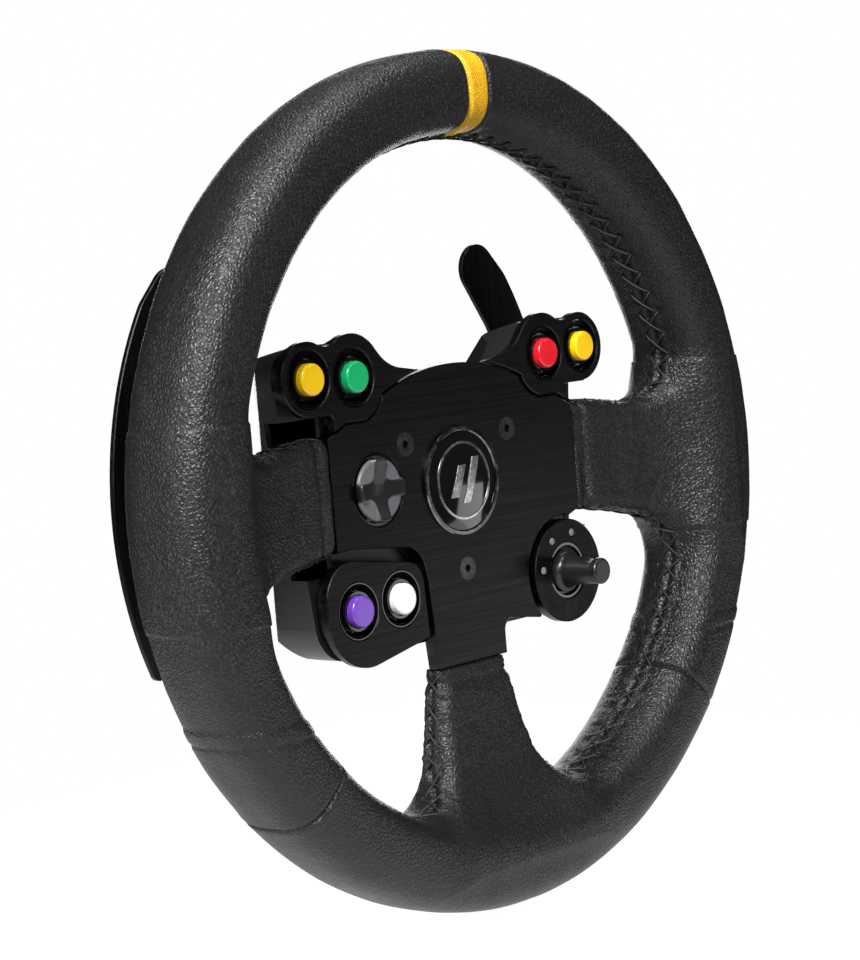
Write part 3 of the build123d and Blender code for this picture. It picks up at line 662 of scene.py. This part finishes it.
def cut_panel(source, start, end):
    """The part of the form between two clock angles, with extra loops beside its two edges."""
    bm = bmesh.new()
    bm.from_mesh(source.data)
    for angle, sign in ((start, 1), (end, -1)):
        normal = half_plane_normal(angle) * sign
        whole_geometry = bm.verts[:] + bm.edges[:] + bm.faces[:]
        bmesh.ops.bisect_plane(bm, geom=whole_geometry, plane_co=(0, 0, 0), plane_no=normal, clear_inner=True)
        for gap in (0.45, 0.9, 1.5):
            whole_geometry = bm.verts[:] + bm.edges[:] + bm.faces[:]
            bmesh.ops.bisect_plane(bm, geom=whole_geometry, plane_co=normal * gap * mm, plane_no=normal)
    mesh = bpy.data.meshes.new("panel")
    bm.to_mesh(mesh)
    bm.free()
    return mesh


def edge_tuck(p, start, end, depth=0.85, width=1.5):
    """How far a panel's two edges are pulled in where it meets the next panel."""
    tuck = np.zeros(len(p))
    for angle in (start, end):
        distance = np.abs(p @ np.array(half_plane_normal(angle)))
        tuck += depth * np.exp(-(distance / (width * 0.45)) ** 2)
        tuck -= 0.12 * np.exp(-((distance - width * 1.3) / width) ** 2)
    return tuck


for name, (start, end, material, slot_name, stands_for) in panels.items():
    mesh = cut_panel(whole, start, end)
    mesh.name = name
    p = read_points(mesh) / mm - shift
    normals = unit(slope(p))
    offset = leather_relief(p) - edge_tuck(p, start, end)
    write_points(mesh, (p + normals * offset[:, None] + shift) * mm)
    grain = mesh.attributes.new("grain", "FLOAT_VECTOR", "POINT")
    grain.data.foreach_set("vector", (p * mm).astype(np.float32).ravel())
    piece = bpy.data.objects.new(name, mesh)
    bpy.context.scene.collection.objects.link(piece)
    mesh.materials.append(material)
    mesh.polygons.foreach_set("use_smooth", np.ones(len(mesh.polygons), bool))
    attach(piece, "wheel")
    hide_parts(stands_for)
bpy.data.objects.remove(whole)


# ---------------------------------------------------------------- lacing

thread_radius = 0.40


def tube(path, radius, sides=7):
    """Vertices and faces of a round thread along a path, closed at both ends."""
    path = np.asarray(path, float)
    along = unit(np.gradient(path, axis=0))
    first = unit(np.cross(along, [0.31, 0.83, 0.46]))
    second = np.cross(along, first)
    angles = np.linspace(0, 2 * math.pi, sides, endpoint=False)
    cosine, sine = np.cos(angles)[None, :, None], np.sin(angles)[None, :, None]
    circle = cosine * first[:, None, :] + sine * second[:, None, :]
    rings = path[:, None, :] + circle * radius
    vertices = rings.reshape(-1, 3)
    faces = []
    for i in range(len(path) - 1):
        for j in range(sides):
            k = (j + 1) % sides
            faces.append((i * sides + j, i * sides + k, (i + 1) * sides + k, (i + 1) * sides + j))
    faces.append(tuple(range(sides))[::-1])
    faces.append(tuple((len(path) - 1) * sides + j for j in range(sides)))
    return vertices, faces


def lace(name, line):
    """Crossed thread between two rows of holes along a seam."""
    holes = even(line, lace_pitch)
    along, out, across = seam_frame(holes)
    rows = {}
    for side in (-1, 1):
        rows[side] = settle(holes + across * lace_half * side)
    vertices, faces = [], []
    for i in range(len(holes) - 1):
        for side, height in ((-1, 0.62), (1, 0.28)):
            a, b = rows[side][i], rows[-side][i + 1]
            t = np.linspace(0, 1, 11)[:, None]
            middle = a + (b - a) * t
            surface = settle(middle, 3)
            lifts = [-1.0, -0.1, 0.3, height, 0.3, -0.1, -1.0]
            lift = np.interp(t[:, 0], [0, 0.09, 0.2, 0.5, 0.8, 0.91, 1], lifts)
            path = surface + unit(slope(surface)) * lift[:, None]
            v, f = tube(path, thread_radius)
            base = sum(len(x) for x in vertices)
            vertices.append(v)
            faces += [tuple(base + k for k in face) for face in f]
    points = (np.concatenate(vertices) + shift) * mm
    piece = mesh_object(name, points, faces)
    piece.data.polygons.foreach_set("use_smooth", np.ones(len(piece.data.polygons), bool))
    piece.data.materials.append(thread_black)
    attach(piece, "wheel")


for name, line in (("lacing_top", top_line), ("lacing_right", right_line), ("lacing_left", left_line)):
    lace(name, line)


# ---------------------------------------------------------------- controls on the face


def face_piece(name, vertices, faces, material, body, smooth=True):
    """A finished piece on the face, with its material, riding on a body."""
    piece = mesh_object(name, vertices, faces)
    piece.data.polygons.foreach_set("use_smooth", np.full(len(piece.data.polygons), smooth))
    piece.data.materials.append(material)
    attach(piece, body)
    return piece


def two_tone_material(name, dark, light, roughness):
    """Moulded plastic whose tone follows a stored attribute, from dark to light."""
    material = moulded_material(name, light, roughness, 0.12)
    nodes, links = material.node_tree.nodes, material.node_tree.links
    shader = nodes["Principled BSDF"]
    base = shader.inputs["Base Color"].links[0].from_socket
    tone = nodes.new("ShaderNodeAttribute")
    tone.attribute_name = "tone"
    mixed = nodes.new("ShaderNodeMix")
    mixed.data_type = "RGBA"
    mixed.inputs["A"].default_value = (*dark, 1)
    links.new(tone.outputs["Fac"], mixed.inputs["Factor"])
    links.new(base, mixed.inputs["B"])
    links.new(mixed.outputs["Result"], shader.inputs["Base Color"])
    return material


pad_low, pad_high = (np.array(corner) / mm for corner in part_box("dpad_cap"))
pad_centre = (pad_low + pad_high) / 2
pad_radius = (pad_high[0] - pad_low[0]) / 2
pad_face = face_y / mm - 1.2
pad_back = rim_y / mm + 4.6
arm_half, corner_round = 2.7, 2.4


def pad_height(x, z):
    """How far the pad stands towards the driver, and 1 on its grey quadrants or 0 on its cross."""
    inner = arm_half + corner_round
    gap_x, gap_z = np.maximum(inner - np.abs(x), 0), np.maximum(inner - np.abs(z), 0)
    outside = np.hypot(gap_x, gap_z) - corner_round
    cross = np.clip(outside / 0.5 + 0.5, 0, 1)
    cross = cross * cross * (3 - 2 * cross)
    radius = np.hypot(x, z)
    along = np.maximum(np.abs(x), np.abs(z)) / pad_radius
    ramp_up = -0.7 + 2.5 * along ** 1.5
    fall = np.maximum(radius - pad_radius + 1.1, 0) / 1.1
    return cross * ramp_up - 1.1 * (1 - np.sqrt(np.maximum(1 - fall * fall, 0))), 1 - cross


def pad_piece():
    turns, rows = 120, 34
    radii = np.linspace(0.15, 1, rows) ** 0.85 * pad_radius
    angles = np.linspace(0, 2 * math.pi, turns, endpoint=False)
    x, z = np.cos(angles)[None] * radii[:, None], np.sin(angles)[None] * radii[:, None]
    height, tone = pad_height(x, z)
    y = pad_face - height
    rings = np.stack([x, y, z], -1)
    skirt = np.stack([x[-1], np.full(turns, pad_back), z[-1]], -1)[None]
    rings = np.concatenate([rings, skirt])
    vertices = (rings.reshape(-1, 3) + [pad_centre[0], 0, pad_centre[2]]) * mm
    index = np.arange((rows + 1) * turns).reshape(rows + 1, turns)
    ahead = np.roll(index, -1, 1)
    faces = np.stack([index[:-1], ahead[:-1], ahead[1:], index[1:]], -1).reshape(-1, 4).tolist()
    faces += [index[0][::-1].tolist(), index[-1].tolist()]
    shade = np.concatenate([tone.ravel(), np.zeros(turns)])
    pad_material = two_tone_material("pad_grey", (0.008, 0.008, 0.009), (0.10, 0.102, 0.11), 0.34)
    piece = face_piece("dpad_cap_cover", vertices, faces, pad_material, "dpad_cap")
    stored = piece.data.attributes.new("tone", "FLOAT", "POINT")
    stored.data.foreach_set("value", shade.astype(np.float32))
    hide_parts("dpad_cap")


pad_piece()


def domed_disc(centre, radius, rise, body, name, material, rings=4, turns=28):
    """A low round dot standing towards the driver."""
    vertices, faces = [], []
    for k in range(rings):
        share = (k + 1) / rings
        height = rise * (1 - share ** 3)
        for a in np.linspace(0, 2 * math.pi, turns, endpoint=False):
            vertices.append((centre[0] + radius * share * math.cos(a), centre[1] - height,
                             centre[2] + radius * share * math.sin(a)))
    for k in range(rings - 1):
        for j in range(turns):
            n = (j + 1) % turns
            faces.append((k * turns + j, k * turns + n, (k + 1) * turns + n, (k + 1) * turns + j))
    faces.append(tuple(range(turns))[::-1])
    back = [(x, centre[1] + 0.5, z) for x, _, z in vertices[-turns:]]
    first, base = (rings - 1) * turns, len(vertices)
    vertices += back
    for j in range(turns):
        n = (j + 1) % turns
        faces.append((first + j, first + n, base + n, base + j))
    faces.append(tuple(base + j for j in range(turns)))
    face_piece(name, np.array(vertices) * mm, faces, material, body)


dot_circle = 13.1
dot_radius = 1.24
dot_rise = 0.14
dot_sink = 0.12
dial = centre_of("selector_plate") / mm
dial_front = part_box("selector_plate")[0].y / mm
for k, angle in enumerate((75.0, 124.0, 173.0)):
    a = math.radians(angle)
    spot = (dial.x + dot_circle * math.cos(a), dial_front + dot_sink, dial.z + dot_circle * math.sin(a))
    domed_disc(spot, dot_radius, dot_rise, "wheel", f"selector_dot_{k}", pale_grey)

emblem_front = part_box("emblem_dome")[0].y / mm
dome_curve = 90.0
ring_outer, ring_inner = 12.9, 12.2
bar_slant, bar_half = 0.42, 1.7
mark_lift, mark_sink = 0.24, -0.15
mark_silver = brushed_material("mark_silver", (0.55, 0.55, 0.56), 0.3, (700.0, 80.0, 700.0), depth=0.03)


def emblem_mark():
    """A generic mark on the dome: a thin ring and two slanted bars, each a thin raised strip."""
    def on_dome(x, z, lift):
        return (x, emblem_front + dome_curve - math.sqrt(dome_curve ** 2 - x * x - z * z) - lift, z)

    turns = 72
    around = [2 * math.pi * k / turns for k in range(turns)]
    outer = [(ring_outer * math.cos(a), ring_outer * math.sin(a)) for a in around]
    inner = [(x * ring_inner / ring_outer, z * ring_inner / ring_outer) for x, z in outer]
    shapes = [(inner, outer, True)]
    for middle, half in ((-3.4, 5.2), (3.0, 7.4)):
        span = np.linspace(-half, half, 13)
        left = [(middle + bar_slant * z - bar_half, z) for z in span]
        right = [(middle + bar_slant * z + bar_half, z) for z in span]
        shapes.append((left, right, False))
    vertices, faces = [], []
    for first, second, closed in shapes:
        base, n = len(vertices), len(first)
        for lift in (mark_lift, mark_sink):
            vertices += [on_dome(x, z, lift) for x, z in first] + [on_dome(x, z, lift) for x, z in second]
        for k in range(n if closed else n - 1):
            m = (k + 1) % n
            a, b, c, d = base + k, base + m, base + n + m, base + n + k
            faces += [(a, b, c, d), (a + 2 * n, d + 2 * n, c + 2 * n, b + 2 * n)]
            faces += [(a, a + 2 * n, b + 2 * n, b), (d, c, c + 2 * n, d + 2 * n)]
        if not closed:
            for k in (0, n - 1):
                faces.append((base + k, base + n + k, base + 3 * n + k, base + 2 * n + k))
    points = np.array(vertices) * mm
    mark = face_piece("emblem_mark", points, faces, mark_silver, "wheel", smooth=False)
    bm = bmesh.new()
    bm.from_mesh(mark.data)
    bmesh.ops.recalc_face_normals(bm, faces=bm.faces)
    bm.to_mesh(mark.data)
    bm.free()


emblem_mark()


# ---------------------------------------------------------------- floor, light and camera

floor_z = -rim_outer - 0.4 * mm
floor_half = 0.3
floor_corners = [(a * floor_half, b * floor_half) for a, b in ((-1, -1), (1, -1), (1, 1), (-1, 1))]
floor = mesh_object("floor", [(x, y + rim_y, floor_z) for x, y in floor_corners], [(0, 1, 2, 3)])
pale, nodes, links, shader = new_material("floor_pale")
shader.inputs["Base Color"].default_value = (0.1, 0.1, 0.1, 1)
shader.inputs["Roughness"].default_value = 0.9
shader.inputs["Emission Color"].default_value = (1, 1, 1, 1)
shader.inputs["Emission Strength"].default_value = 0.98
floor.data.materials.append(pale)

world = bpy.data.worlds.new("world")
bpy.context.scene.world = world
world.use_nodes = True
backdrop = world.node_tree.nodes["Background"]
backdrop.inputs["Color"].default_value = (1, 1, 1, 1)
seen = world.node_tree.nodes.new("ShaderNodeLightPath")
strength = world.node_tree.nodes.new("ShaderNodeMapRange")
strength.inputs["To Min"].default_value = 0.04
strength.inputs["To Max"].default_value = 1.0
world.node_tree.links.new(seen.outputs["Is Camera Ray"], strength.inputs["Value"])
world.node_tree.links.new(strength.outputs["Result"], backdrop.inputs["Strength"])
bpy.context.scene.view_settings.view_transform = "Standard"


def area_light(name, position, target, size, power, size_y=None):
    data = bpy.data.lights.new(name, "AREA")
    data.shape = "RECTANGLE"
    data.size = size
    data.size_y = size_y or size
    data.energy = power
    lamp = bpy.data.objects.new(name, data)
    bpy.context.scene.collection.objects.link(lamp)
    lamp.location = position
    direction = Vector(target) - Vector(position)
    lamp.rotation_euler = direction.to_track_quat("-Z", "Y").to_euler()


area_light("key", (-0.95, -0.60, 0.95), (0, rim_y, 0.02), 0.5, 42.0)
area_light("left_strip", (-1.2, 0.25, 0.2), (0, rim_y, 0), 0.25, 7.0, size_y=1.0)
area_light("top_strip", (0.1, -0.1, 1.1), (0, rim_y, 0), 1.0, 8.0, size_y=0.25)
area_light("far_side", (1.1, 0.95, 0.1), (0, rim_y, 0), 1.1, 16.0, size_y=0.9)
area_light("right_front", (1.15, -0.95, -0.50), (0, rim_y, 0), 0.45, 1.8, size_y=0.70)
area_light("front_high", (0.85, -0.95, 0.75), (0, rim_y, 0), 0.50, 1.8, size_y=0.30)
area_light("face", (-0.5, -1.2, 0.3), (0, rim_y, 0), 0.3, 3.0)

view_azimuth = math.radians(-48.56)
view_elevation = math.radians(4.77)
view_roll = math.radians(-4.76)
view_pan = math.radians(-0.92)
view_tilt = math.radians(0.08)
view_distance = 0.8353
focal_pixels = 2551.5
frame_pixels = 960.0


def camera_at_view():
    data = bpy.data.cameras.new("camera")
    camera = bpy.data.objects.new("camera", data)
    bpy.context.scene.collection.objects.link(camera)
    bpy.context.scene.camera = camera
    position = Vector((math.sin(view_azimuth) * math.cos(view_elevation),
                       -math.cos(view_azimuth) * math.cos(view_elevation),
                       math.sin(view_elevation))) * view_distance
    ahead = -position.normalized()
    right = ahead.cross(Vector((0, 0, 1))).normalized()
    up = right.cross(ahead)
    ahead = (ahead + right * math.tan(view_pan) + up * math.tan(view_tilt)).normalized()
    right = ahead.cross(up).normalized()
    up = right.cross(ahead)
    turned_right = right * math.cos(view_roll) + up * math.sin(view_roll)
    turned_up = up * math.cos(view_roll) - right * math.sin(view_roll)
    basis = Matrix((turned_right, turned_up, -ahead)).transposed().to_4x4()
    basis.translation = position + Vector((0, rim_y, 0))
    camera.matrix_world = basis
    data.sensor_width = 36.0
    data.lens = focal_pixels * data.sensor_width / frame_pixels
    data.clip_start = 0.01
    data.clip_end = 50.0


camera_at_view()
